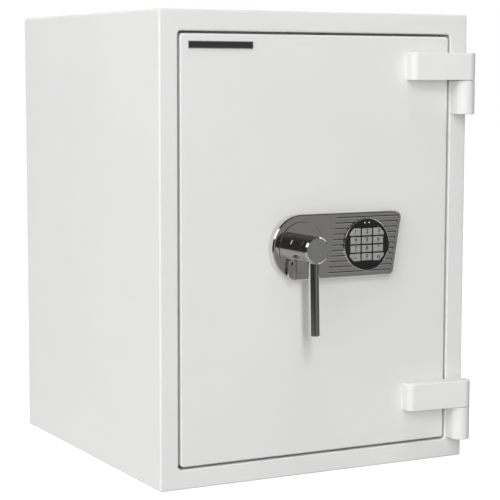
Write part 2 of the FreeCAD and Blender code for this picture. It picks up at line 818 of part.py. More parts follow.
def cut_grooves(plate):
    """Level flutes of round section; both of their ends follow a slanted line."""
    axis_y = proud(S.plate_thick - GROOVE_DEEP + GROOVE_RADIUS)
    for row in range(GROOVES):
        z = S.handle_z + (row - (GROOVES - 1) / 2) * GROOVE_PITCH
        left = GROOVE_LEFT + GROOVE_LEFT_SLANT * (z - S.handle_z)
        plate.hollow("x", (left, right_edge(z, GROOVE_MARGIN)), circle((axis_y, z), GROOVE_RADIUS))


def make_escutcheon():
    """Cast plate under the handle and the keypad, round at one end and slanted at the other."""
    top = S.handle_z + S.plate_round
    low = S.handle_z - S.plate_round
    face = proud(S.plate_thick)
    plate = Piece("escutcheon")
    plate.solid("y", (face, FRONT), circle((S.handle_x, S.handle_z), S.plate_round))
    corners = ((S.handle_x, low), (right_edge(low), low), (right_edge(top), top), (S.handle_x, top))
    plate.solid("y", (face, FRONT), polygon(*corners))
    past_keypad = value_of(S.keypad_x)
    plate.blend("Fillet", CORNER_ROUND, lambda e: runs_along(e, Y_AXIS) and middle_of(e).x > past_keypad)
    plate.blend("Chamfer", RIM_BEVEL, lambda e: near(middle_of(e).y, face))
    cut_grooves(plate)
    hub_xz = (S.handle_x, S.handle_z)
    disc_face = proud(S.plate_thick + DISC_STEP)
    plate.solid("y", (disc_face, face), circle(hub_xz, S.disc_radius))
    plate.blend("Fillet", DISC_ROUND, lambda e: near(middle_of(e).y, disc_face))
    through = (disc_face, FRONT)
    plate.hollow("y", through, circle(hub_xz, BUSH_RADIUS), circle((KEY_X, KEY_HOLE_Z), KEY_TUBE_RADIUS))
    plate.hollow("y", through, circle((S.keypad_x, S.handle_z), S.disc_radius + RING_WIDE))


KEYPAD_BACK = 3
KEYPAD_FACE = 14
KEYPAD_ROUND = 0.8
KEYPAD_WALL = 2
RING_RISE = 0.8
KEY_TOP = 14.8
KEY_FOOT = 8.9
KEY_ROUND = 0.7
KEY_CAVITY = 10.5
BOARD = (4.5, 6.1)
DOME_TOP = 7.7
DOME_RADIUS = 2.5
KEY_OUT = 1.3
LIGHT_RADIUS = 1
LIGHT_SINK = 0.4
LIGHT_SPREAD = 3.6
LIGHT_RISE = 31.5
KEY_NAMES = (
    ("1", "2", "3"),
    ("4", "5", "6"),
    ("7", "8", "9"),
    ("clear", "0", "enter"),
)


def key_outline(column, row, margin=0):
    """Key seen from the front; a corner key reaches further out and has its outer corner cut."""
    x = S.keypad_x + (column - 1) * S.key_pitch_x
    z = S.handle_z + (1.5 - row) * S.key_pitch_z
    half_x = S.key_wide / 2 + margin
    half_z = S.key_high / 2 + margin
    out = column - 1
    up = {0: 1, 3: -1}.get(row, 0)
    if not out or not up:
        return rectangle((x - half_x, x + half_x), (z - half_z, z + half_z))
    cut = S.key_corner + 0.6 * margin
    inner = x - out * half_x
    outer = x + out * (half_x + KEY_OUT)
    tip = z + up * (half_z + KEY_OUT / 2)
    base = z - up * half_z
    cut_ends = ((outer, tip - up * cut), (outer - out * cut, tip))
    return polygon((inner, base), (outer, base), *cut_ends, (inner, tip))


def make_keypad():
    """Round keypad: housing with a window for each key, chrome ring, board and lights."""
    centre = (S.keypad_x, S.handle_z)
    housing = Piece("keypad_housing")
    housing.solid("y", (proud(KEYPAD_FACE), proud(KEYPAD_BACK)), circle(centre, S.disc_radius))
    housing.blend("Fillet", KEYPAD_ROUND, lambda e: near(middle_of(e).y, proud(KEYPAD_FACE)))
    cavity = circle(centre, S.disc_radius - KEYPAD_WALL)
    housing.hollow("y", (proud(KEY_CAVITY), proud(KEYPAD_BACK)), cavity)
    face = (proud(KEYPAD_FACE), proud(KEY_CAVITY))
    windows = [key_outline(c, r, S.key_clear) for r in range(4) for c in range(3)]
    housing.hollow("y", face, *windows)
    housing.hollow("y", face, *[circle(p, LIGHT_RADIUS) for p in light_places()])
    ring_piece = Piece("keypad_ring")
    ring_span = (proud(KEYPAD_FACE + RING_RISE), proud(KEYPAD_BACK))
    ring_piece.solid("y", ring_span, circle(centre, S.disc_radius + RING_WIDE), circle(centre, S.disc_radius))
    ring_piece.blend("Fillet", KEY_ROUND, lambda e: near(middle_of(e).y, ring_span[0]))
    board = Piece("keypad_board")
    board_radius = S.disc_radius - KEYPAD_WALL - 1
    board.solid("y", (proud(BOARD[1]), proud(BOARD[0])), circle(centre, board_radius))
    domes = [circle(key_centre(c, r), DOME_RADIUS) for r in range(4) for c in range(3)]
    board.solid("y", (proud(DOME_TOP), proud(BOARD[1])), *domes)
    lights = []
    for n, (x, z) in enumerate(light_places()):
        stem = rod(f"light_stem_{n}", "y", (x, z), face, LIGHT_RADIUS)
        dome = ball(f"light_dome_{n}", x, proud(KEYPAD_FACE - LIGHT_SINK), z, LIGHT_RADIUS)
        lights.append(union(f"light_{n}", stem, dome))
    keep("indicator_lights", group("indicator_lights", *lights))


def key_centre(column, row):
    return S.keypad_x + (column - 1) * S.key_pitch_x, S.handle_z + (1.5 - row) * S.key_pitch_z


def light_places():
    return [(S.keypad_x + offset, S.handle_z + LIGHT_RISE) for offset in (-LIGHT_SPREAD, LIGHT_SPREAD)]


def make_keys():
    """Twelve keys, one to each window of the housing."""
    for row, names in enumerate(KEY_NAMES):
        for column, name in enumerate(names):
            key = Piece(f"key_{name}")
            key.solid("y", (proud(KEY_TOP), proud(KEY_FOOT)), key_outline(column, row))
            key.blend("Fillet", KEY_ROUND, lambda e: near(middle_of(e).y, proud(KEY_TOP)))


CABLE_RADIUS = 2
CABLE_DEPTH = 36
CABLE_LOW = 285


def make_keypad_cable():
    """Cable from the keypad board through the door and down to the lock."""
    depth = behind(CABLE_DEPTH)
    drop = rod("cable_drop", "z", (S.keypad_x, depth), (CABLE_LOW, S.handle_z), CABLE_RADIUS)
    lead = rod("cable_lead", "y", (S.keypad_x, S.handle_z), (proud(BOARD[0]), depth), CABLE_RADIUS)
    run = rod("cable_run", "x", (depth, CABLE_LOW), (LOCK_X[1], 0 + S.keypad_x), CABLE_RADIUS)
    bends = (
        ball("cable_bend_top", S.keypad_x, depth, S.handle_z, CABLE_RADIUS),
        ball("cable_bend_low", S.keypad_x, depth, CABLE_LOW, CABLE_RADIUS),
    )
    keep("keypad_cable", union("keypad_cable", lead, drop, run, *bends))


KEY_TUBE_END = 28
KEY_SLOT = (0.8, 3)
KEY_SLOT_DEEP = 9
COVER_GAP = 0.3
COVER_THICK = 5.5
COVER_HALF = 5.75
COVER_DROP = 5.5
COVER_BEVEL = 1
TAB_RADIUS = 3.6
TAB_RISE = 1
PIVOT_RADIUS = 1.5
PIVOT_HEAD = 2.6
PIVOT_HEAD_HIGH = 0.8


def make_emergency_key_parts():
    """Keyhole cylinder, and the small cover that swings over it."""
    span = (proud(S.plate_thick), behind(KEY_TUBE_END))
    tube = rod("key_tube", "y", (KEY_X, KEY_HOLE_Z), span, KEY_TUBE_RADIUS)
    slot_x = (KEY_X - KEY_SLOT[0], KEY_X + KEY_SLOT[0])
    slot_z = (KEY_HOLE_Z - KEY_SLOT[1], KEY_HOLE_Z + KEY_SLOT[1])
    slot = block("key_slot", slot_x, (span[0], span[0] + KEY_SLOT_DEEP), slot_z)
    keep("key_cylinder", minus("key_cylinder", tube, slot))
    seat = proud(S.plate_thick + DISC_STEP)
    inner = seat - COVER_GAP
    outer = inner - COVER_THICK
    ends = (KEY_HOLE_Z - COVER_DROP, KEY_PIVOT_Z)
    cover = Piece("key_cover")
    cover.solid("y", (outer, inner), rectangle((KEY_X - COVER_HALF, KEY_X + COVER_HALF), ends))
    for z in ends:
        cover.solid("y", (outer, inner), circle((KEY_X, z), COVER_HALF))
    cover.blend("Fillet", COVER_BEVEL, lambda e: near(middle_of(e).y, outer))
    cover.solid("y", (outer - TAB_RISE, outer), circle((KEY_X, ends[0]), TAB_RADIUS))
    cover.hollow("y", (outer, inner), circle((KEY_X, KEY_PIVOT_Z), PIVOT_RADIUS + S.running))
    pivot_xz = (KEY_X, KEY_PIVOT_Z)
    head_span = (outer - PIVOT_HEAD_HIGH, outer - S.running)
    shaft = rod("pivot_shaft", "y", pivot_xz, (head_span[0], seat), PIVOT_RADIUS)
    head = rod("pivot_head", "y", pivot_xz, head_span, PIVOT_HEAD)
    keep("key_cover_pivot", union("key_cover_pivot", shaft, head))


# Handle ------------------------------------------------------------------------------------

HUB_GAP = 0.2
HUB_HEEL = 0.8
HUB_CHAMFER = 2.2
HUB_CAP = 8
RING_GROOVE = (44.2, 45.4)
RING_GROOVE_DEEP = 0.6
LEVER_SEAT = 14
LEVER_ROUND = 1.5
# degrees that the lever hangs off the vertical when it is against its stop
LEVER_LEAN = 1.25
SPINDLE_END = 69
CLIP_THICK = 3
CLIP_RADIUS = 8
BUSH_END = 31


def put_on_hub_axis(piece):
    """Sets a piece at the hub's axis, turned about it by the lean of the lever."""
    place(piece.body, S.handle_x, FRONT, S.handle_z)
    lean = FreeCAD.Rotation(FreeCAD.Vector(0, -1, 0), LEVER_LEAN)
    piece.body.Placement = FreeCAD.Placement(piece.body.Placement.Base, lean)


def make_handle():
    """Hub and lever on the spindle."""
    hub = Piece("handle_hub")
    put_on_hub_axis(hub)
    socket = S.hub_front - HUB_CAP
    back = S.plate_thick + DISC_STEP + HUB_GAP
    hub.turned(
        polygon(
            (S.spindle_radius, -back),
            (S.hub_radius - HUB_HEEL, -back),
            (S.hub_radius, -back - HUB_HEEL),
            (S.hub_radius, HUB_CHAMFER - S.hub_front),
            (S.hub_radius - HUB_CHAMFER, -S.hub_front),
            (0, -S.hub_front),
            (0, -socket),
            (S.spindle_radius, -socket),
        )
    )
    groove_low, groove_high = RING_GROOVE
    hub.turned_groove(
        polygon(
            (S.hub_radius - RING_GROOVE_DEEP, -groove_low),
            (S.hub_radius + 1, -groove_low),
            (S.hub_radius + 1, -groove_high),
            (S.hub_radius - RING_GROOVE_DEEP, -groove_high),
        )
    )
    hub.hollow("z", (-S.hub_radius - 1, -LEVER_SEAT), circle((0, -S.lever_stand), S.lever_radius))
    lever = Piece("handle_lever")
    put_on_hub_axis(lever)
    free_end = S.lever_end - S.handle_z
    lever.solid("z", (free_end, -LEVER_SEAT), circle((0, -S.lever_stand), S.lever_radius))
    lever.blend("Fillet", LEVER_ROUND, lambda e: near(middle_of(e).z, free_end))
    clip_span = (behind(SPINDLE_END - CLIP_THICK), behind(SPINDLE_END))
    handle_xz = (S.handle_x, S.handle_z)
    shaft = rod("spindle_shaft", "y", handle_xz, (proud(socket), clip_span[0]), S.spindle_radius)
    clip = rod("spindle_clip", "y", handle_xz, clip_span, CLIP_RADIUS)
    keep("handle_spindle", union("handle_spindle", shaft, clip))
    bush_span = (proud(S.plate_thick), behind(BUSH_END))
    tube = rod("bush_tube", "y", handle_xz, bush_span, BUSH_RADIUS)
    bore = rod("bush_bore", "y", handle_xz, bush_span, S.spindle_radius + S.running)
    keep("spindle_bush", minus("spindle_bush", tube, bore))


# Boltwork ----------------------------------------------------------------------------------

ROD_LAYER = (44, 53)
CARRIER_LAYER = (55, 64)
PINION_LAYER = (43, 65)
CAM_LAYER = (33, 41)
RACK_BAR = 12.5
RACK_TOP = 1.5
RACK_ROOT = 2.5
PRESSURE_ANGLE = math.radians(20)


def top_rod_x():
    return S.handle_x - PITCH_RADIUS - RACK_ROOT - RACK_BAR / 2


def bottom_rod_x():
    return S.handle_x + PITCH_RADIUS + RACK_ROOT + RACK_BAR / 2


def make_pinion():
    """Fifteen-tooth involute pinion; one tooth points straight down at rest."""
    module = value_of(S.gear_module)
    teeth = int(value_of(S.gear_teeth))
    pitch = module * teeth / 2
    base = pitch * math.cos(PRESSURE_ANGLE)
    tip = pitch + module
    root = pitch - 1.25 * module
    half = math.pi / (2 * teeth) - value_of(S.backlash) / (4 * pitch)

    def involute(radius):
        angle = math.acos(base / radius)
        return math.tan(angle) - angle

    def point(radius, angle):
        return FreeCAD.Vector(radius * math.cos(angle), 0, radius * math.sin(angle))

    edges = []
    steps = [base + (tip - base) * n / 5 for n in range(6)]
    pitch_angle = 2 * math.pi / teeth
    for tooth in range(teeth):
        middle = -math.pi / 2 + tooth * pitch_angle
        lean = [half + involute(pitch) - involute(radius) for radius in steps]
        rise = [point(radius, middle - turn) for radius, turn in zip(steps, lean)]
        fall = [point(radius, middle + turn) for radius, turn in zip(steps, lean)][::-1]
        foot_out = point(root, middle + lean[0])
        foot_next = point(root, middle + pitch_angle - lean[0])
        edges.append(Part.LineSegment(point(root, middle - lean[0]), rise[0]).toShape())
        for flank in (rise, fall):
            curve = Part.BSplineCurve()
            curve.interpolate(flank)
            edges.append(curve.toShape())
        edges.append(Part.Arc(rise[-1], point(tip, middle), fall[0]).toShape())
        edges.append(Part.LineSegment(fall[-1], foot_out).toShape())
        edges.append(Part.Arc(foot_out, point(root, middle + pitch_angle / 2), foot_next).toShape())
    profile = Part.Face(Part.Wire(Part.__sortEdges__(edges)))
    width = PINION_LAYER[1] - PINION_LAYER[0]
    wheel = profile.extrude(FreeCAD.Vector(0, width, 0))
    bore = Part.makeCylinder(value_of(S.spindle_radius), width, FreeCAD.Vector(), Y_AXIS)
    pinion = DOC.addObject("Part::Feature", "drive_pinion")
    pinion.Shape = wheel.cut(bore)
    keep("drive_pinion", place(pinion, S.handle_x, behind(PINION_LAYER[0]), S.handle_z))


def rack_tooth(line, inward, middle, swap=False):
    """One rack tooth on a pitch line, pointing inward to the pinion."""
    slope = math.tan(PRESSURE_ANGLE)
    half = S.gear_module * (math.pi / 4) - S.backlash / 4
    foot = half + RACK_ROOT * slope
    top = half - RACK_TOP * slope
    points = (
        (middle - foot, line - inward * RACK_ROOT),
        (middle + foot, line - inward * RACK_ROOT),
        (middle + top, line + inward * RACK_TOP),
        (middle - top, line + inward * RACK_TOP),
    )
    return polygon(*[(b, a) if swap else (a, b) for a, b in points])


CARRIER_TEETH = (-2, 5)
TAIL_HIGH = 9.5
TAIL_REACH = 34
BOLT_STICKS_OUT = 1
GUIDE_PIN = 4
ROD_GUIDE_PIN = 3
TRAVEL = PITCH_RADIUS * (math.pi / 2)
CARRIER_X = (-150, -96)
CARRIER_Z = (110, 550)
CARRIER_PIN_X = -130
CARRIER_PIN_Z = (230, 430)
TOP_GUIDE_Z = 500
BOTTOM_GUIDE_Z = 160


def make_bolt_carrier():
    """Flat carrier with slots for its guide pins and a rack tail under the pinion."""
    ys = (behind(CARRIER_LAYER[0]), behind(CARRIER_LAYER[1]))
    line = S.handle_z - PITCH_RADIUS
    carrier = Piece("bolt_carrier")
    carrier.solid("y", ys, rectangle(CARRIER_X, CARRIER_Z))
    tail_z = (line - RACK_ROOT - TAIL_HIGH, line - RACK_ROOT)
    carrier.solid("y", ys, rectangle((CARRIER_X[1], S.handle_x + TAIL_REACH), tail_z))
    tooth = carrier.solid("y", ys, rack_tooth(line, 1, tooth_place(S.handle_x, CARRIER_TEETH[0])))
    count = CARRIER_TEETH[1] - CARRIER_TEETH[0] + 1
    carrier.repeat(tooth, "H_Axis", S.gear_module * math.pi * (count - 1), count)
    radius = GUIDE_PIN + S.running
    for z in CARRIER_PIN_Z:
        slot_x = (CARRIER_PIN_X, CARRIER_PIN_X + TRAVEL)
        carrier.hollow("y", ys, rectangle(slot_x, (z - radius, z + radius)))
        for x in slot_x:
            carrier.hollow("y", ys, circle((x, z), radius))
    bolts = []
    for n, z in enumerate(SIDE_BOLT_Z):
        span = (CASE_X[0] - BOLT_STICKS_OUT, 0 + CARRIER_X[0])
        bolts.append(rod(f"bolt_{n}", "x", (behind(S.bolt_depth), z), span, S.bolt_radius))
    keep("live_bolts", group("live_bolts", *bolts))


def tooth_place(axis_place, number, lead=0):
    """Centre of a rack tooth, counted in pitches from the space that faces the pinion."""
    pitch = S.gear_module * math.pi
    return axis_place + lead + pitch * (number + 0.5)


def make_bolt_rod(label, x, inward, teeth, bar_z, slot_z, bolt_z):
    """Vertical rack bar with one guide slot and a round bolt behind its outer end."""
    ys = (behind(ROD_LAYER[0]), behind(ROD_LAYER[1]))
    half = RACK_BAR / 2
    piece = Piece(label)
    piece.solid("y", ys, rectangle((x - half, x + half), bar_z))
    line = S.handle_x - inward * PITCH_RADIUS
    # on either side of the pinion a tooth stands a quarter pitch above the level line
    quarter = S.gear_module * (math.pi / 4)
    first = tooth_place(S.handle_z, teeth[0], quarter)
    tooth = piece.solid("y", ys, rack_tooth(line, inward, first, swap=True))
    count = teeth[1] - teeth[0] + 1
    piece.repeat(tooth, "V_Axis", S.gear_module * math.pi * (count - 1), count)
    piece.solid("z", bolt_z, circle((x, behind(S.bolt_depth)), S.rod_bolt_radius))
    radius = ROD_GUIDE_PIN + S.running
    piece.hollow("y", ys, rectangle((x - radius, x + radius), slot_z))
    for z in slot_z:
        piece.hollow("y", ys, circle((x, z), radius))


TOP_BAR_BELOW = 29.2
BOTTOM_BAR_ABOVE = 33
BAR_END_GAP = 31
BOLT_OVERLAP = 15


def make_bolt_rods():
    """The rack bars of the top and bottom bolts, on either side of the pinion."""
    make_bolt_rod(
        "top_bolt_rod",
        top_rod_x(),
        inward=1,
        teeth=(-5, 0),
        bar_z=(S.handle_z - TOP_BAR_BELOW, CASE_Z[1] - BAR_END_GAP),
        slot_z=(TOP_GUIDE_Z - TRAVEL, TOP_GUIDE_Z),
        bolt_z=(CASE_Z[1] - BAR_END_GAP - BOLT_OVERLAP, CASE_Z[1] + BOLT_STICKS_OUT),
    )
    make_bolt_rod(
        "bottom_bolt_rod",
        bottom_rod_x(),
        inward=-1,
        teeth=(-2, 4),
        bar_z=(CASE_Z[0] + BAR_END_GAP, S.handle_z + BOTTOM_BAR_ABOVE),
        slot_z=(BOTTOM_GUIDE_Z, BOTTOM_GUIDE_Z + TRAVEL),
        bolt_z=(CASE_Z[0] - BOLT_STICKS_OUT, CASE_Z[0] + BAR_END_GAP + BOLT_OVERLAP),
    )


def make_guide_pins():
    """Pins on the back plate that run in the slots of the carrier and the rods."""
    front = behind(S.tray_depth + S.back_plate)
    pins = [
        rod(f"carrier_pin_{n}", "y", (CARRIER_PIN_X, z), (front, behind(CARRIER_LAYER[1] + 3)), GUIDE_PIN)
        for n, z in enumerate(CARRIER_PIN_Z)
    ]
    for name, x, z in (("top_pin", top_rod_x(), TOP_GUIDE_Z), ("bottom_pin", bottom_rod_x(), BOTTOM_GUIDE_Z)):
        pins.append(rod(name, "y", (x, z), (front, behind(ROD_LAYER[1] + 2)), ROD_GUIDE_PIN))
    keep("guide_pins", group("guide_pins", *pins))


NOTCH_HALF = 6.6
NOTCH_FLOOR = 16


def make_blocking_cam():
    """Disc on the spindle with one notch for each end of the handle's travel."""
    ys = (behind(CAM_LAYER[0]), behind(CAM_LAYER[1]))
    cam = Piece("blocking_cam")
    cam.solid("y", ys, circle((S.handle_x, S.handle_z), S.cam_radius))
    reach = S.cam_radius + 1
    down = (S.handle_z - reach, S.handle_z - NOTCH_FLOOR)
    right = (S.handle_x + NOTCH_FLOOR, S.handle_x + reach)
    cam.hollow("y", ys, rectangle((S.handle_x - NOTCH_HALF, S.handle_x + NOTCH_HALF), down))
    cam.hollow("y", ys, rectangle(right, (S.handle_z - NOTCH_HALF, S.handle_z + NOTCH_HALF)))
    cam.hollow("y", ys, circle((S.handle_x, S.handle_z), S.spindle_radius))


LOCK_Z = (215, 300)
LOCK_DEPTH = (28, 61)
LOCK_ROUND = 3
LOCK_BOLT_HALF = 6
LOCK_BOLT_Z = (232, 302)
LOCK_BOLT_PLAY = 2
LOCK_BOLT_BEVEL = 1


def make_lock():
    """Lock case with a sliding bolt that rises into the cam's notch."""
    case = Piece("lock_case")
    ys = (behind(LOCK_DEPTH[0]), behind(LOCK_DEPTH[1]))
    case.solid("y", ys, rectangle(LOCK_X, LOCK_Z))
    case.blend("Fillet", LOCK_ROUND, lambda e: runs_along(e, Y_AXIS))
    bolt_y = (behind(CAM_LAYER[0]), behind(CAM_LAYER[1]))
    bolt_x = (S.handle_x - LOCK_BOLT_HALF, S.handle_x + LOCK_BOLT_HALF)
    channel = rectangle(grown(bolt_x, S.running), grown(bolt_y, S.running))
    case.hollow("z", (LOCK_BOLT_Z[0] - LOCK_BOLT_PLAY, LOCK_Z[1]), channel)
    bolt = Piece("lock_bolt")
    bolt.solid("z", LOCK_BOLT_Z, rectangle(bolt_x, bolt_y))
    tip = LOCK_BOLT_Z[1]
    bolt.blend("Chamfer", LOCK_BOLT_BEVEL, lambda e: near(middle_of(e).z, tip) and runs_along(e, Y_AXIS))


CELL_RADIUS = 7.2
CELL_LENGTH = 50.5
CELLS = 4
CELL_GAP = 0.6
HOLDER_X = 50
HOLDER_Z = 120
HOLDER_HIGH = 16
HOLDER_WALL = 1.5
HOLDER_END = 2
CELL_END_GAP = 0.5


def make_batteries():
    """Open tray with four cells on the door's back plate."""
    pitch = 2 * CELL_RADIUS + CELL_GAP
    front = behind(S.tray_depth + S.back_plate)
    holder = Piece("battery_holder")
    xs = (HOLDER_X, HOLDER_X + CELLS * pitch + 2 * HOLDER_WALL)
    zs = (HOLDER_Z, HOLDER_Z + CELL_LENGTH + 2 * (HOLDER_END + CELL_END_GAP))
    floor = front + HOLDER_END
    holder.solid("y", (front, front + HOLDER_HIGH), rectangle(xs, zs))
    well = rectangle(grown(xs, -HOLDER_WALL), grown(zs, -HOLDER_END))
    holder.hollow("y", (floor, front + HOLDER_HIGH), well)
    cells = []
    for n in range(CELLS):
        x = HOLDER_X + HOLDER_WALL + pitch * (n + 0.5)
        low = HOLDER_Z + HOLDER_END + CELL_END_GAP
        cells.append(rod(f"cell_{n}", "z", (x, floor + CELL_RADIUS), (low, low + CELL_LENGTH), CELL_RADIUS))
    keep("batteries", group("batteries", *cells))


def make_all():
    make_outer_casing()
    make_base_plate()
    make_rear_panel()
    make_anchor_sleeves()
    make_door_frame()
    make_door_seal()
    make_inner_liner()
    make_body_infill()
    make_shelf()
    for position, joint in (("upper", S.upper_joint), ("lower", S.lower_joint)):
        make_frame_hinge(f"frame_hinge_{position}", joint)
        make_hinge_arm(f"hinge_arm_{position}", joint)
    make_hinge_pins()
    make_door_panel()
    make_boltwork_case()
    make_inner_cover()
    make_dog_bar()
    make_name_plate()
    make_escutcheon()
    make_keypad()
    make_keys()
    make_keypad_cable()
    make_emergency_key_parts()
    make_handle()
    make_pinion()
    make_bolt_carrier()
    make_bolt_rods()
    make_guide_pins()
    make_blocking_cam()
    make_lock()
    make_batteries()


def write_parts():
    """Checks every object, then writes each sub-part to its own file."""
    DOC.recompute()
    for thing in DOC.Objects:
        if "Invalid" in thing.State or "Error" in thing.State:
            raise ValueError(f"{thing.Name} failed: {thing.State}")
    for label, thing in PARTS.items():
        if thing.Shape.isNull() or not thing.Shape.isValid() or not thing.Shape.Solids:
            raise ValueError(f"{label} has no valid solid")
    os.makedirs("parts", exist_ok=True)
    for label, thing in PARTS.items():
        thing.Shape.exportStep(f"parts/{label}.step")


make_all()
write_parts()
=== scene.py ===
import json
import math

import bmesh
import bpy
from mathutils import Matrix, Vector

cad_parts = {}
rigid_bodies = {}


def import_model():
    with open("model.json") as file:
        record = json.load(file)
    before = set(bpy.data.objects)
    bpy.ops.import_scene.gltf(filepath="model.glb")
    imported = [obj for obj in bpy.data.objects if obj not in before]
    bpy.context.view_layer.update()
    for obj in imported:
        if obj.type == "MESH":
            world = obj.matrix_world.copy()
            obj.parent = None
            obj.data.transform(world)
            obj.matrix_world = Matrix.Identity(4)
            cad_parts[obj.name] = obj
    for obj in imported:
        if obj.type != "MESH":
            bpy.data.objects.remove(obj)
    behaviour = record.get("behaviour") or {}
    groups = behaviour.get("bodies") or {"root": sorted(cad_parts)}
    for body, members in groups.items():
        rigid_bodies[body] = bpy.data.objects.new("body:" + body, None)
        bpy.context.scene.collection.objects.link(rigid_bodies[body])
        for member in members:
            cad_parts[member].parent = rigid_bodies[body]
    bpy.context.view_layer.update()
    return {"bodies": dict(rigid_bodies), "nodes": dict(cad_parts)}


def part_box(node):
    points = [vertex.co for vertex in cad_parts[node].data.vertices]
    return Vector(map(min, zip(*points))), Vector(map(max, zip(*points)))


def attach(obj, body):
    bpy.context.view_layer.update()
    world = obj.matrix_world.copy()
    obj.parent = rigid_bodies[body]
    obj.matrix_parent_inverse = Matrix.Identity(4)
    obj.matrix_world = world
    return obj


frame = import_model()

MM = 0.001
NODES = frame["nodes"]


# Node materials -----------------------------------------------------------------------------


class Shader:
    """A node material under construction, with short calls for the nodes that it uses."""

    def __init__(self, name):
        self.material = bpy.data.materials.new(name)
        self.material.use_nodes = True
        self.tree = self.material.node_tree
        self.surface = self.tree.nodes["Principled BSDF"]
        self.where = self.add("ShaderNodeTexCoord").outputs["Object"]

    def add(self, kind, **settings):
        node = self.tree.nodes.new(kind)
        for key, value in settings.items():
            setattr(node, key, value)
        return node

    def feed(self, socket, value):
        """Links a socket to another, or sets it to a plain value."""
        if isinstance(value, bpy.types.NodeSocket):
            self.tree.links.new(value, socket)
        elif socket.type == "RGBA" and len(value) == 3:
            socket.default_value = (*value, 1)
        else:
            socket.default_value = value

    def set(self, **values):
        for key, value in values.items():
            self.feed(self.surface.inputs[key.replace("_", " ")], value)

    def stretched(self, scale):
        """The object's coordinates, scaled by one factor for each axis."""
        mapping = self.add("ShaderNodeMapping")
        self.feed(mapping.inputs["Vector"], self.where)
        self.feed(mapping.inputs["Scale"], scale)
        return mapping.outputs["Vector"]

    def noise(self, scale, detail=2.0, roughness=0.5, where=None):
        node = self.add("ShaderNodeTexNoise")
        self.feed(node.inputs["Vector"], where or self.where)
        self.feed(node.inputs["Scale"], float(scale))
        self.feed(node.inputs["Detail"], float(detail))
        self.feed(node.inputs["Roughness"], float(roughness))
        return node.outputs["Fac"]

    def cells(self, scale, feature="F1"):
        node = self.add("ShaderNodeTexVoronoi", feature=feature)
        self.feed(node.inputs["Vector"], self.where)
        self.feed(node.inputs["Scale"], float(scale))
        return node.outputs["Distance"]

    def between(self, factor, low, high, start=0.3, end=0.7):
        """Maps a factor from start..end to low..high."""
        node = self.add("ShaderNodeMapRange")
        for key, value in zip(("Value", "From Min", "From Max", "To Min", "To Max"),
                              (factor, start, end, low, high)):
            self.feed(node.inputs[key], value)
        return node.outputs["Result"]

    def ramp(self, factor, *stops):
        """A colour ramp; each stop is a place and a colour."""
        node = self.add("ShaderNodeValToRGB")
        elements = node.color_ramp.elements
        while len(elements) < len(stops):
            elements.new(0.5)
        for element, (place, color) in zip(elements, stops):
            element.position = place
            element.color = (*color, 1)
        self.feed(node.inputs["Fac"], factor)
        return node.outputs["Color"]

    def math(self, operation, *values):
        node = self.add("ShaderNodeMath", operation=operation)
        for socket, value in zip(node.inputs, values):
            self.feed(socket, value)
        return node.outputs[0]

    def split(self, vector):
        """The three parts of a vector."""
        node = self.add("ShaderNodeSeparateXYZ")
        self.feed(node.inputs["Vector"], vector)
        return node.outputs

    def length(self, one, other):
        """Length of the two together, at right angles."""
        squares = [self.math("MULTIPLY", part, part) for part in (one, other)]
        return self.math("SQRT", self.math("ADD", *squares))

    def line(self, value, place, half):
        """1 at a place and 0 further than half from it."""
        away = self.math("ABSOLUTE", self.math("SUBTRACT", value, place))
        return self.between(away, 1.0, 0.0, half * 0.4, half)

    def blend(self, factor, color, other):
        node = self.add("ShaderNodeMix", data_type="RGBA")
        self.feed(node.inputs[0], factor)
        self.feed(node.inputs[6], color)
        self.feed(node.inputs[7], other)
        return node.outputs[2]

    def levelled(self, factor, normal):
        """A normal that turns to the piece's own front as the factor goes to 1."""
        front = self.add("ShaderNodeVectorTransform", vector_type="NORMAL",
                         convert_from="OBJECT", convert_to="WORLD")
        self.feed(front.inputs[0], (0, -1, 0))
        node = self.add("ShaderNodeMix", data_type="VECTOR")
        self.feed(node.inputs[0], factor)
        self.feed(node.inputs[4], normal)
        self.feed(node.inputs[5], front.outputs[0])
        unit = self.add("ShaderNodeVectorMath", operation="NORMALIZE")
        self.feed(unit.inputs[0], node.outputs[1])
        return unit.outputs[0]

    def grey(self, level):
        """A grey colour from one channel."""
        node = self.add("ShaderNodeCombineColor")
        for socket in node.inputs:
            self.feed(socket, level)
        return node.outputs["Color"]

    def bump(self, height, distance, strength=1.0, under=None):
        node = self.add("ShaderNodeBump")
        self.feed(node.inputs["Height"], height)
        self.feed(node.inputs["Distance"], float(distance))
        self.feed(node.inputs["Strength"], float(strength))
        if under is not None:
            self.feed(node.inputs["Normal"], under)
        return node.outputs["Normal"]


def tinted(color, factor):
    return tuple(channel * factor for channel in color)


def powder_coat(name, color, grain=1.0):
    """Fine-textured powder coat: a soft orange-peel surface with tiny grains."""
    s = Shader(name)
    cloud = s.noise(5, 3)
    s.set(Base_Color=s.ramp(cloud, (0.3, tinted(color, 0.985)), (0.7, tinted(color, 1.012))))
    peel = s.noise(420, 2, 0.5)
    grains = s.noise(1500, 2, 0.6)
    s.set(Roughness=s.between(grains, 0.42, 0.55))
    soft = s.bump(peel, 0.00012 * grain, 0.55)
    s.set(Normal=s.bump(grains, 0.00006 * grain, 0.6, soft), Specular_IOR_Level=0.4)
    return s.material


def plated(name, color, roughness, haze=0.02):
    """Bright plating with faint polishing haze."""
    s = Shader(name)
    smear = s.noise(60, 4, 0.6)
    s.set(Metallic=1.0, Base_Color=s.ramp(smear, (0.3, tinted(color, 0.96)), (0.7, color)))
    s.set(Roughness=s.between(smear, roughness, roughness + haze))
    s.set(Normal=s.bump(s.noise(260, 2), 0.00001, 0.3))
    return s.material


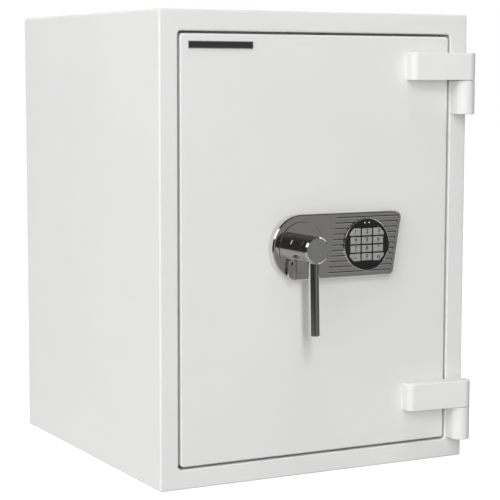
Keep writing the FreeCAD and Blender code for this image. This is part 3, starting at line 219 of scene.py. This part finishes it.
def polished_plate(name, color):
    """Polished casting, with painted shade under each flute's upper edge and round its raised disc's edge,
    a painted highlight on the flutes, and the flutes' normals turned to the front.
    """
    s = Shader(name)
    smear = s.noise(60, 4, 0.6)
    x, y, z = s.split(s.where)
    rise = s.math("SUBTRACT", z, HANDLE.z)
    along = s.math("SUBTRACT", x, s.math("MULTIPLY", rise, FLUTE_SLANT))
    high = s.math("ABSOLUTE", rise)
    fade = 0.5 * MM
    depths = [PLATE_FACE + depth for depth in FLUTE_DEPTHS]
    left, right = FLUTE_X
    flute = s.between(y, 0.0, 1.0, depths[0], depths[1])
    flute = s.math("MULTIPLY", flute, s.between(y, 1.0, 0.0, depths[2], depths[3]))
    flute = s.math("MULTIPLY", flute, s.between(along, 0.0, 1.0, left, left + fade))
    flute = s.math("MULTIPLY", flute, s.between(along, 1.0, 0.0, right - fade, right))
    flute = s.math("MULTIPLY", flute, s.between(high, 1.0, 0.0, FLUTE_REACH, FLUTE_REACH + fade))
    # height inside a flute, from -1/2 to 1/2 of the pitch about its middle
    turns = s.math("ADD", s.math("DIVIDE", rise, FLUTE_PITCH), 0.5)
    level = s.math("SUBTRACT", s.math("FRACT", turns), 0.5)
    upper_start, upper_end = (height / FLUTE_PITCH for height in FLUTE_UPPER)
    # painted shade: a dark band under each flute's upper edge, where the flute is in shade
    upper = s.between(level, 0.0, 1.0, upper_start, upper_end)
    reach = s.length(s.math("SUBTRACT", x, HANDLE.x), rise)
    # painted shade: a dark ring round the raised disc's edge
    disc_edge_shade = s.math("MULTIPLY", s.line(reach, DISC_RADIUS, DISC_EDGE_SHADE_HALF), DISC_EDGE_SHADE_STRENGTH)
    dark = s.math("MAXIMUM", s.math("MULTIPLY", flute, upper), disc_edge_shade)
    bright = s.ramp(smear, (0.3, tinted(color, 0.96)), (0.7, color))
    # painted highlight: the flutes are coloured lighter than the rest of the plate
    bright = s.blend(flute, bright, tinted(color, FLUTE_PAINTED_HIGHLIGHT))
    s.set(Metallic=1.0, Base_Color=s.blend(dark, bright, PAINTED_SHADE_COLOR))
    s.set(Roughness=s.between(smear, 0.035, 0.055))
    s.set(Normal=s.levelled(flute, s.bump(s.noise(260, 2), 0.00001, 0.3)))
    return s.material


def brushed(name, color, along, roughness=0.3):
    """Machined or drawn steel, with fine lines along one axis."""
    s = Shader(name)
    scale = [2200.0, 2200.0, 2200.0]
    scale["xyz".index(along)] = 40.0
    lines = s.noise(1, 3, 0.6, s.stretched(tuple(scale)))
    stain = s.noise(35, 4, 0.6)
    s.set(Metallic=1.0, Base_Color=s.ramp(stain, (0.3, tinted(color, 0.82)), (0.65, color)))
    s.set(Roughness=s.between(lines, roughness - 0.08, roughness + 0.1))
    s.set(Normal=s.bump(lines, 0.00002, 0.5))
    return s.material


def moulded(name, color, roughness, grain=1500, depth=0.00003, spread=0.06):
    """Moulded plastic or rubber with a fine spark-eroded grain."""
    s = Shader(name)
    cloud = s.noise(40, 3)
    s.set(Base_Color=s.ramp(cloud, (0.3, tinted(color, 1 - spread)), (0.7, tinted(color, 1 + spread))))
    fine = s.noise(grain, 2, 0.6)
    s.set(Roughness=s.between(fine, roughness - 0.06, roughness + 0.06))
    s.set(Normal=s.bump(fine, depth, 0.6))
    return s.material


def cast(name, color):
    """Die-cast zinc with a slightly rough skin."""
    s = Shader(name)
    skin = s.noise(600, 4, 0.7)
    s.set(Metallic=1.0, Base_Color=s.ramp(s.noise(30, 3), (0.3, tinted(color, 0.8)), (0.7, color)))
    s.set(Roughness=s.between(skin, 0.38, 0.55), Normal=s.bump(skin, 0.00008, 0.6))
    return s.material


def concrete(name, color):
    """Light fire-resistant filling with pores."""
    s = Shader(name)
    pores = s.cells(220)
    body = s.noise(90, 5, 0.65)
    s.set(Base_Color=s.ramp(body, (0.3, tinted(color, 0.8)), (0.7, color)), Roughness=0.9)
    s.set(Normal=s.bump(pores, 0.0008, 0.5, s.bump(body, 0.0006, 0.6)))
    return s.material


def circuit(name):
    """Green board with darker traces."""
    s = Shader(name)
    traces = s.cells(160, "DISTANCE_TO_EDGE")
    s.set(Base_Color=s.ramp(traces, (0.05, (0.02, 0.11, 0.04)), (0.12, (0.03, 0.2, 0.07))))
    s.set(Roughness=0.35, Normal=s.bump(traces, 0.00003, 0.5))
    return s.material


def cell_wrap(name, low, high):
    """Printed sleeve of a battery cell: dark with a metal band near the top."""
    s = Shader(name)
    share = s.between(s.split(s.where)[2], 0.0, 1.0, low, high)
    s.set(Base_Color=s.ramp(share, (0.0, (0.03, 0.035, 0.04)), (0.68, (0.03, 0.035, 0.04)),
                            (0.7, (0.62, 0.42, 0.2)), (0.97, (0.62, 0.42, 0.2)), (0.98, (0.7, 0.7, 0.7))))
    scuffs = s.noise(300, 3)
    s.set(Roughness=s.between(scuffs, 0.2, 0.35), Metallic=0.3, Normal=s.bump(scuffs, 0.00002, 0.5))
    return s.material


def lens(name):
    """Small clear lamp cap over a pale diffuser."""
    s = Shader(name)
    s.set(Base_Color=s.ramp(s.noise(900, 2), (0.3, (0.72, 0.72, 0.7)), (0.7, (0.85, 0.85, 0.84))))
    s.set(Roughness=0.12, Coat_Weight=0.6, Emission_Color=(1.0, 1.0, 0.98), Emission_Strength=0.15)
    return s.material


# The escutcheon: its hub axis, the painted shade round its disc's edge, and its level flutes with their
# painted shade and highlight.
HANDLE = Vector((-0.036, 0, 0.33))
DISC_RADIUS = 36.5 * MM
# Painted shade round the raised disc's edge: half its width and its strength.
DISC_EDGE_SHADE_HALF = 0.35 * MM
DISC_EDGE_SHADE_STRENGTH = 0.8
PLATE_FACE = -0.268
FLUTE_X = (0.013, 0.1192)
FLUTE_SLANT = 0.163
FLUTE_PITCH = 7.8 * MM
FLUTE_REACH = 41.5 * MM
FLUTE_DEPTHS = (0.3 * MM, 0.5 * MM, 1.35 * MM, 1.45 * MM)
# Painted shade under each flute's upper edge, a painted highlight on the flutes, and the colour of all
# painted shade on the plate.
FLUTE_UPPER = (0.4 * MM, 0.7 * MM)
FLUTE_PAINTED_HIGHLIGHT = 1.18
PAINTED_SHADE_COLOR = (0.02, 0.02, 0.02)
WHITE = (0.80, 0.80, 0.795)
MATERIALS = {
    "white": powder_coat("powder_coat_white", WHITE),
    "liner": powder_coat("powder_coat_grey", (0.56, 0.57, 0.57), 0.7),
    "chrome": plated("bright_chrome", (0.8, 0.788, 0.782), 0.03),
    "plate": polished_plate("polished_casting", (0.8, 0.785, 0.776)),
    "satin": plated("satin_chrome", (0.74, 0.72, 0.71), 0.28, 0.08),
    "steel_x": brushed("drawn_steel_x", (0.56, 0.56, 0.57), "x"),
    "steel_z": brushed("drawn_steel_z", (0.56, 0.56, 0.57), "z"),
    "steel_y": brushed("drawn_steel_y", (0.6, 0.6, 0.6), "y", 0.25),
    "brass": brushed("turned_brass", (0.72, 0.52, 0.22), "y", 0.28),
    "casting": cast("zinc_casting", (0.55, 0.55, 0.56)),
    "black": moulded("black_plastic", (0.014, 0.014, 0.015), 0.38, spread=0.15),
    "key": moulded("grey_key_plastic", (0.34, 0.337, 0.332), 0.45),
    "legend": moulded("legend_ink", (0.03, 0.03, 0.032), 0.5, spread=0.2),
    "lamp": lens("lamp_lens"),
    "board": circuit("circuit_board"),
    "cable": moulded("cable_sheath", (0.02, 0.02, 0.02), 0.5, spread=0.2),
    "seal": moulded("seal_strip_rubber", (0.03, 0.03, 0.03), 0.75, 700, 0.0001, 0.2),
    "infill": concrete("fire_infill", (0.6, 0.59, 0.56)),
    "plug": moulded("plug_plastic", (0.6, 0.6, 0.59), 0.45),
    "plate_face": plated("dark_gloss_plate", (0.2, 0.19, 0.2), 0.12, 0.05),
}
cell_low, cell_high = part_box("batteries")
MATERIALS["cell"] = cell_wrap("cell_wrap", cell_low.z, cell_high.z)

FINISHES = {
    "white": ["outer_casing", "base_plate", "rear_panel", "frame_hinge_upper", "frame_hinge_lower",
              "door_skin", "hinge_arm_upper", "hinge_arm_lower", "door_frame"],
    "liner": ["inner_liner", "shelf", "door_back_plate", "boltwork_case", "door_inner_cover"],
    "chrome": ["keypad_ring", "handle_hub", "handle_lever", "key_cover_pivot", "name_plate"],
    "satin": ["key_cover"],
    "plate": ["escutcheon"],
    "steel_x": ["live_bolts", "bolt_carrier", "shelf_clips"],
    "steel_y": ["handle_spindle", "guide_pins", "cover_screws", "drive_pinion", "blocking_cam"],
    "steel_z": ["top_bolt_rod", "bottom_bolt_rod", "lock_bolt", "dog_bar", "hinge_pins",
                "anchor_sleeves"],
    "brass": ["spindle_bush", "key_cylinder"],
    "casting": ["lock_case"],
    "black": ["keypad_housing", "battery_holder"],
    "key": [name for name in NODES if name.startswith("key_") and f"button_{name[4:]}" in frame["bodies"]],
    "lamp": ["indicator_lights"],
    "board": ["keypad_board"],
    "cable": ["keypad_cable"],
    "seal": ["door_seal"],
    "infill": ["body_infill", "door_infill"],
    "plug": ["rear_anchor_plugs"],
    "cell": ["batteries"],
}


def paint(thing, material):
    """One material on every face of a mesh."""
    thing.data.materials.clear()
    thing.data.materials.append(MATERIALS[material])


for finish, names in FINISHES.items():
    for name in names:
        paint(NODES[name], finish)


# Pieces made here -----------------------------------------------------------------------------


def mesh_piece(name, mesh, material, body):
    piece = bpy.data.objects.new(name, mesh)
    bpy.context.scene.collection.objects.link(piece)
    paint(piece, material)
    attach(piece, body)
    return piece


DIGIT_HEIGHT = 7.6 * MM
DIGIT_RAISED = 1.0 * MM
MARK_HEIGHT = DIGIT_HEIGHT * 1.2
LEGEND_THICK = 0.03 * MM
LEGEND_BOLD = 0.2 * MM
LINE_LOWERED = 3.4 * MM
LINE_SIZE = (5 * MM, 0.06 * MM, 0.5 * MM)
LINE_BEVEL = 0.02 * MM
FACE_BORDER = 0.95 * MM
FACE_THICK = 0.3 * MM
FACE_SUNK = 0.35 * MM
FACE_BEVEL = 0.05 * MM


def lettering(name, text, height, x, y, z, body):
    """A printed figure, as a very thin solid on a key's face."""
    curve = bpy.data.curves.new(name, "FONT")
    curve.body = text
    curve.size = height
    curve.align_x = "CENTER"
    curve.align_y = "CENTER"
    curve.extrude = LEGEND_THICK
    curve.offset = LEGEND_BOLD
    source = bpy.data.objects.new(name + "_source", curve)
    bpy.context.scene.collection.objects.link(source)
    bpy.context.view_layer.update()
    mesh = bpy.data.meshes.new_from_object(source)
    bpy.data.objects.remove(source)
    upright = Matrix.Translation((x, y, z)) @ Matrix.Rotation(math.radians(90), 4, "X")
    mesh.transform(upright)
    return mesh_piece(name, mesh, "legend", body)


def bar(name, centre, size, material, body, bevel):
    """A small bevelled bar."""
    shape = bmesh.new()
    bmesh.ops.create_cube(shape, size=1.0)
    bmesh.ops.scale(shape, vec=Vector(size), verts=shape.verts)
    bmesh.ops.translate(shape, vec=Vector(centre), verts=shape.verts)
    bmesh.ops.bevel(shape, geom=shape.edges[:], offset=bevel, segments=2, affect="EDGES")
    mesh = bpy.data.meshes.new(name)
    shape.to_mesh(mesh)
    shape.free()
    return mesh_piece(name, mesh, material, body)


def make_legends():
    """A figure on each key; the two function keys have a dash and a ring."""
    for name in FINISHES["key"]:
        label = name[4:]
        body = f"button_{label}"
        low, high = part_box(name)
        x = (low.x + high.x) / 2
        z = (low.z + high.z) / 2
        if label.isdigit():
            lettering(f"legend_{label}", label, DIGIT_HEIGHT, x, low.y, z + DIGIT_RAISED, body)
            centre = (x, low.y, z - LINE_LOWERED)
            bar(f"legend_line_{label}", centre, LINE_SIZE, "legend", body, LINE_BEVEL)
        else:
            mark = "-" if label == "clear" else "o"
            lettering(f"legend_{label}", mark, MARK_HEIGHT, x, low.y, z, body)


def make_plate_face():
    """Dark glossy face in the recess of the blank name plate."""
    low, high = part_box("name_plate")
    size = (high.x - low.x - 2 * FACE_BORDER, FACE_THICK, high.z - low.z - 2 * FACE_BORDER)
    centre = ((low.x + high.x) / 2, low.y + FACE_SUNK, (low.z + high.z) / 2)
    bar("name_plate_face", centre, size, "plate_face", "door", FACE_BEVEL)


make_legends()
make_plate_face()


# Studio ------------------------------------------------------------------------------------------

VIEW_AZIMUTH = math.radians(-27.96)
VIEW_ELEVATION = math.radians(6.07)
VIEW_ROLL = math.radians(0.141)
VIEW_TARGET = Vector((-0.1115, -0.255, 0.3292))
VIEW_DISTANCE = 2.318
LENS = 119.87
SENSOR_WIDTH = 36
# Each lamp: azimuth and elevation in degrees, width, height and power.
LIGHT_DISTANCE = 5.0
LIGHT_CENTRE = Vector((0, 0, 0.35))
LIGHTS = {
    "key_light": (-17, 34, 0.5, 1.6, 48),
    "low_light": (-17, 10, 0.5, 1.6, 54),
    "left_light": (-60, 33, 2.4, 2.4, 46),
    "top_light": (-20, 75, 1.2, 1.6, 62),
}
# Tones of the soft light that falls on plain surfaces.
FRONT_TONE = 0.02
LEFT_TONE = 1.52
TOP_TONE = 0.09
REAR_TONE = 1.6
# Tones of the room that bright metal mirrors, from its left to its right.
ROOM_TONES = (0.035, 0.1)
FLOOR_TONES = (0.46, 0.24)
SCREEN_TONE = 0.21
LEFT_PANEL_TONE = 1.6
RIGHT_PANEL_TONE = 1.2
BEHIND_TONE = 0.75


def outward(azimuth, elevation):
    """The direction from the object to a viewer; azimuth 0 is straight in front."""
    flat = math.cos(elevation)
    return Vector((math.sin(azimuth) * flat, -math.cos(azimuth) * flat, math.sin(elevation)))


def facing(back, roll=0.0):
    """A rotation whose local +Z points along back, as a camera's or a lamp's does."""
    right = Vector((0, 0, 1)).cross(back).normalized()
    up = back.cross(right)
    turned_right = right * math.cos(roll) + up * math.sin(roll)
    turned_up = up * math.cos(roll) - right * math.sin(roll)
    return Matrix((turned_right, turned_up, back)).transposed().to_4x4()


def make_camera():
    back = outward(VIEW_AZIMUTH, VIEW_ELEVATION)
    camera = bpy.data.objects.new("camera", bpy.data.cameras.new("camera"))
    camera.data.lens = LENS
    camera.data.sensor_width = SENSOR_WIDTH
    camera.matrix_world = Matrix.Translation(VIEW_TARGET + back * VIEW_DISTANCE) @ facing(back, VIEW_ROLL)
    bpy.context.scene.collection.objects.link(camera)
    bpy.context.scene.camera = camera


def area_light(name, azimuth, elevation, width, height, power):
    back = outward(math.radians(azimuth), math.radians(elevation))
    light = bpy.data.lights.new(name, "AREA")
    light.shape = "RECTANGLE"
    light.size = width
    light.size_y = height
    light.energy = power
    lamp = bpy.data.objects.new(name, light)
    lamp.matrix_world = Matrix.Translation(LIGHT_CENTRE + back * LIGHT_DISTANCE) @ facing(back)
    lamp.visible_glossy = False
    bpy.context.scene.collection.objects.link(lamp)


FLOOR_BOUNCE = 0.62
FLOOR_SHADOW = 0.5
FLOOR_GLOW = 0.92


def make_floor():
    """A plain pale floor, kept out of the reflections."""
    reach = 12
    mesh = bpy.data.meshes.new("floor")
    corners = [(-reach, -reach, 0), (reach, -reach, 0), (reach, reach, 0), (-reach, reach, 0)]
    mesh.from_pydata(corners, [], [(0, 1, 2, 3)])
    floor = bpy.data.objects.new("floor", mesh)
    bpy.context.scene.collection.objects.link(floor)
    s = Shader("floor")
    seen = s.add("ShaderNodeLightPath").outputs["Is Camera Ray"]
    shade = s.between(seen, FLOOR_BOUNCE, FLOOR_SHADOW, 0.0, 1.0)
    mottle = s.between(s.noise(0.6, 2), 0.98, 1.02)
    s.set(Base_Color=s.grey(s.math("MULTIPLY", shade, mottle)), Roughness=0.9)
    s.set(Emission_Strength=s.math("MULTIPLY", seen, FLOOR_GLOW), Specular_IOR_Level=0.0)
    mesh.materials.append(s.material)
    floor.visible_glossy = False


def make_world():
    """White to the camera, soft light on surfaces, and dark and pale areas in reflections."""
    world = bpy.data.worlds.new("studio")
    world.use_nodes = True
    bpy.context.scene.world = world
    tree = world.node_tree
    tree.nodes.clear()

    def add(kind, **settings):
        node = tree.nodes.new(kind)
        for key, value in settings.items():
            setattr(node, key, value)
        return node

    def smooth(value, start, end):
        """0 below start, 1 above end, with a smooth step between."""
        node = add("ShaderNodeMapRange", interpolation_type="SMOOTHSTEP")
        tree.links.new(value, node.inputs["Value"])
        node.inputs["From Min"].default_value = start
        node.inputs["From Max"].default_value = end
        return node.outputs["Result"]

    def both(one, other):
        node = add("ShaderNodeMath", operation="MULTIPLY")
        tree.links.new(one, node.inputs[0])
        tree.links.new(other, node.inputs[1])
        return node.outputs[0]

    def mix(factor, low, high):
        """Low where the factor is 0 and high where it is 1; each is a grey level or a socket."""
        node = add("ShaderNodeMix", data_type="FLOAT")
        tree.links.new(factor, node.inputs["Factor"])
        for socket, value in zip(node.inputs[2:4], (low, high)):
            if isinstance(value, float):
                socket.default_value = value
            else:
                tree.links.new(value, socket)
        return node.outputs[0]

    direction = add("ShaderNodeTexCoord").outputs["Generated"]
    split = add("ShaderNodeSeparateXYZ")
    tree.links.new(direction, split.inputs[0])
    x, y, z = split.outputs

    # what bright metal mirrors: a dark room, a pale floor, and a panel on either side
    room = mix(smooth(x, -0.35, 0.3), *ROOM_TONES)
    floor = mix(smooth(x, -0.2, 0.4), *FLOOR_TONES)
    tone = mix(smooth(z, -0.14, -0.3), room, floor)
    screen = both(both(smooth(x, 0.33, 0.4), smooth(x, 0.62, 0.55)), smooth(z, 0.2, 0.05))
    tone = mix(screen, tone, SCREEN_TONE)
    left_panel = both(smooth(x, -0.5, -0.6), smooth(z, 0.28, 0.38))
    tone = mix(left_panel, tone, LEFT_PANEL_TONE)
    right_panel = both(smooth(x, 0.6, 0.7), smooth(z, 0.35, 0.45))
    tone = mix(right_panel, tone, RIGHT_PANEL_TONE)
    tone = mix(smooth(y, 0.3, 0.6), tone, BEHIND_TONE)

    # what lights plain surfaces
    soft = mix(smooth(x, -0.25, -0.6), FRONT_TONE, LEFT_TONE)
    soft = mix(smooth(z, 0.45, 0.7), soft, TOP_TONE)
    right_rear = both(both(smooth(x, -0.1, 0.2), smooth(y, -0.1, 0.15)), smooth(z, 0.45, 0.25))
    soft = mix(right_rear, soft, REAR_TONE)

    path = add("ShaderNodeLightPath")
    unseen = mix(path.outputs["Is Glossy Ray"], soft, tone)
    level = mix(path.outputs["Is Camera Ray"], unseen, 1.0)
    background = add("ShaderNodeBackground")
    tree.links.new(level, background.inputs["Color"])
    output = add("ShaderNodeOutputWorld")
    tree.links.new(background.outputs[0], output.inputs["Surface"])


make_camera()
make_floor()
make_world()
for name, settings in LIGHTS.items():
    area_light(name, *settings)
bpy.context.scene.view_settings.view_transform = "Standard"
